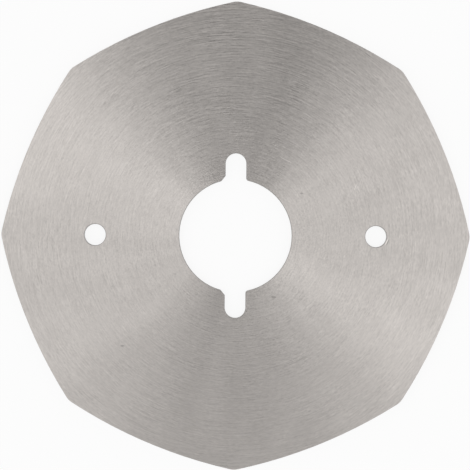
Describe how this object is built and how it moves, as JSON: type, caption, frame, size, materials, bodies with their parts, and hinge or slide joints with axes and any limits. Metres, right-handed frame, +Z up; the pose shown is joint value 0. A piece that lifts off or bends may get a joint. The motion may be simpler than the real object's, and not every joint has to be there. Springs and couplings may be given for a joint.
{
  "type": "octagonal cutter blade",
  "caption": "Flat octagonal cutter blade with bowed sides bevelled from one face, a bore with key slots, and drive pin holes.",
  "frame": {"origin": "centre of the bore on the underside, which the blade lies on", "axes": "+Z up along the bore and out of the plain face, +X through the two pin holes, +Y through the two key slots; the bevels are on the underside"},
  "size_m": [0.07, 0.07, 0.001],
  "materials": {
    "ground_steel": "ground in fine rings about the bore"
  },
  "bodies": {
    "root": {"blade": "ground_steel"}
  },
  "joints": []
}
